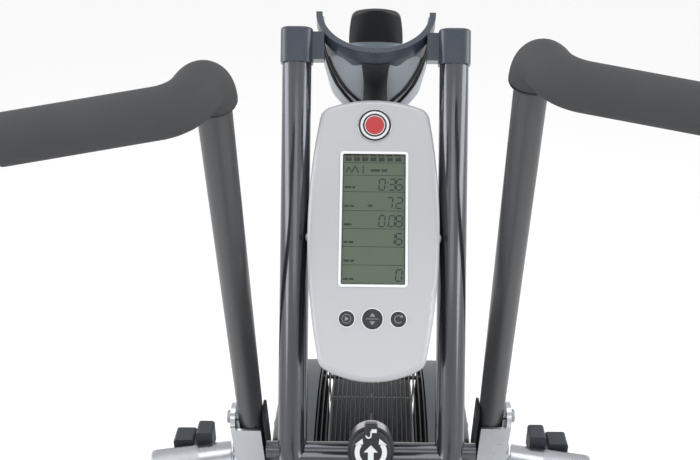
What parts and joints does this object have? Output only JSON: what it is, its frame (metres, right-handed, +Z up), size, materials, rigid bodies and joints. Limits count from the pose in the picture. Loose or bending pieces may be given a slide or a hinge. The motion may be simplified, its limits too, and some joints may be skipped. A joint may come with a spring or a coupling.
{
  "type": "air bike",
  "caption": "Upright air bike with a caged fan wheel, swinging arms with foam grips, foot pegs, cranks and pedals, a tilted display console and a bottle holder.",
  "frame": {"origin": "on the floor, under the middle of the machine's bounding box", "axes": "+Y is the way the rider faces, towards the fan; +X is the rider's right; +Z is up"},
  "size_m": [0.6244, 1.24, 1.2907],
  "materials": {
    "frame_paint": "satin black paint",
    "rubber": "matt",
    "mast_paint": "gloss gunmetal paint",
    "cap_plastic": "dark blue-grey, moulded",
    "grey_plastic": "silver-grey, moulded",
    "black_plastic": "fine moulded texture",
    "silver_plastic": "satin silver-grey",
    "lens": "clear window",
    "display": "grey-green liquid-crystal panel",
    "badge": "domed emblem",
    "cage_wire": "satin black wire",
    "shroud_plastic": "fine moulded texture",
    "steel": "turned and zinc plated",
    "fan_steel": "grey powder coat",
    "crank_metal": "satin forged",
    "bright_metal": "bright zinc",
    "arm_paint": "satin dark grey paint",
    "black_steel": "blackened",
    "foam": "closed-cell foam",
    "saddle_cover": "stitched vinyl"
  },
  "bodies": {
    "frame": {"base_beam": "frame_paint", "front_stabilizer": "frame_paint", "rear_stabilizer": "frame_paint", "rubber_feet": "rubber", "fan_leg_left": "frame_paint", "fan_leg_right": "frame_paint", "head_post": "frame_paint", "seat_tube": "frame_paint", "mast_tube_left": "mast_paint", "mast_tube_right": "mast_paint", "mast_crossbar": "mast_paint", "mast_cap_left": "cap_plastic", "mast_cap_right": "cap_plastic", "holder_rim": "cap_plastic", "holder_cup": "grey_plastic", "holder_trim": "black_plastic", "console_front": "silver_plastic", "console_back": "black_plastic", "console_lens": "lens", "display_board": "display", "console_badge": "badge", "console_bracket": "mast_paint", "fan_cage": "cage_wire", "shroud_left": "shroud_plastic", "shroud_right": "shroud_plastic", "cover_screws": "steel", "fan_axle": "steel", "bearings": "steel", "drive_belt": "rubber", "foot_peg_left": "bright_metal", "foot_peg_right": "bright_metal", "peg_stops": "black_plastic"},
    "fan": {"fan_hub": "steel", "fan_blades": "fan_steel"},
    "crank": {"crank_spindle": "steel", "crank_arm_left": "crank_metal", "crank_arm_right": "crank_metal"},
    "pedal_left": {"pedal_left": "black_plastic"},
    "pedal_right": {"pedal_right": "black_plastic"},
    "arm_left": {"arm_tube_left": "arm_paint", "grip_left": "foam", "lever_left": "bright_metal", "strap_left": "black_steel", "arm_bolts_left": "black_steel"},
    "arm_right": {"arm_tube_right": "arm_paint", "grip_right": "foam", "lever_right": "bright_metal", "strap_right": "black_steel", "arm_bolts_right": "black_steel"},
    "rod_left": {"link_rod_left": "steel"},
    "rod_right": {"link_rod_right": "steel"},
    "seat": {"seat_post": "steel", "saddle_base": "black_plastic", "saddle": "saddle_cover"},
    "seat_knob": {"seat_knob": "black_plastic"},
    "lock_knob": {"lock_knob": "black_plastic"},
    "button_left": {"button_left": "black_plastic"},
    "button_middle": {"button_middle": "black_plastic"},
    "button_right": {"button_right": "black_plastic"},
    "wheels": {"transport_wheels": "rubber"}
  },
  "joints": [
    {"name": "left_arm_swing", "type": "hinge", "parent": "frame", "child": "arm_left", "pos_m": [0, 0.277, 0.655], "axis": [1, 0, 0], "range_deg": [-18.25, 14.75]},
    {"name": "right_arm_swing", "type": "hinge", "parent": "frame", "child": "arm_right", "pos_m": [0, 0.277, 0.655], "axis": [1, 0, 0], "range_deg": [-14.75, 18.25]},
    {"name": "left_rod_turn", "type": "hinge", "parent": "arm_left", "child": "rod_left", "pos_m": [0, 0.39728, 0.27351], "axis": [1, 0, 0], "range_deg": [-14.75, 18.25]},
    {"name": "right_rod_turn", "type": "hinge", "parent": "arm_right", "child": "rod_right", "pos_m": [0, 0.37377, 0.26688], "axis": [1, 0, 0], "range_deg": [-18.25, 14.75]},
    {"name": "crank_turn", "type": "hinge", "parent": "frame", "child": "crank", "pos_m": [0, -0.065, 0.33], "axis": [1, 0, 0], "continuous": true},
    {"name": "fan_spin", "type": "hinge", "parent": "frame", "child": "fan", "pos_m": [0, 0.32, 0.42], "axis": [1, 0, 0], "continuous": true},
    {"name": "left_pedal_turn", "type": "hinge", "parent": "crank", "child": "pedal_left", "pos_m": [-0.24, -0.065, 0.495], "axis": [1, 0, 0], "continuous": true},
    {"name": "right_pedal_turn", "type": "hinge", "parent": "crank", "child": "pedal_right", "pos_m": [0.24, -0.065, 0.165], "axis": [1, 0, 0], "continuous": true},
    {"name": "seat_slide", "type": "slide", "parent": "frame", "child": "seat", "axis": [0, -0.2588, 0.9659], "range_m": [-0.06, 0.1]},
    {"name": "seat_knob_turn", "type": "hinge", "parent": "frame", "child": "seat_knob", "pos_m": [0, -0.34201, 0.57], "axis": [0, -1, 0], "range_deg": [0, 180]},
    {"name": "lock_knob_turn", "type": "hinge", "parent": "frame", "child": "lock_knob", "pos_m": [0, 0.1003, 0.8379], "axis": [0, -0.8829, 0.4695], "range_deg": [0, 90]},
    {"name": "left_button_press", "type": "slide", "parent": "frame", "child": "button_left", "axis": [0, 0.788, -0.6157], "range_m": [0, 0.0012], "stiffness_N_per_m": 300},
    {"name": "middle_button_press", "type": "slide", "parent": "frame", "child": "button_middle", "axis": [0, 0.788, -0.6157], "range_m": [0, 0.0012], "stiffness_N_per_m": 300},
    {"name": "right_button_press", "type": "slide", "parent": "frame", "child": "button_right", "axis": [0, 0.788, -0.6157], "range_m": [0, 0.0012], "stiffness_N_per_m": 300},
    {"name": "wheels_roll", "type": "hinge", "parent": "frame", "child": "wheels", "pos_m": [0, 0.542, 0.033], "axis": [1, 0, 0], "continuous": true}
  ],
  "couplings": [
    {"joint": "right_arm_swing", "follows": "left_arm_swing", "ratio": -1},
    {"joint": "left_rod_turn", "follows": "left_arm_swing", "ratio": -1},
    {"joint": "right_rod_turn", "follows": "left_arm_swing", "ratio": 1},
    {"joint": "fan_spin", "follows": "crank_turn", "ratio": 5}
  ]
}
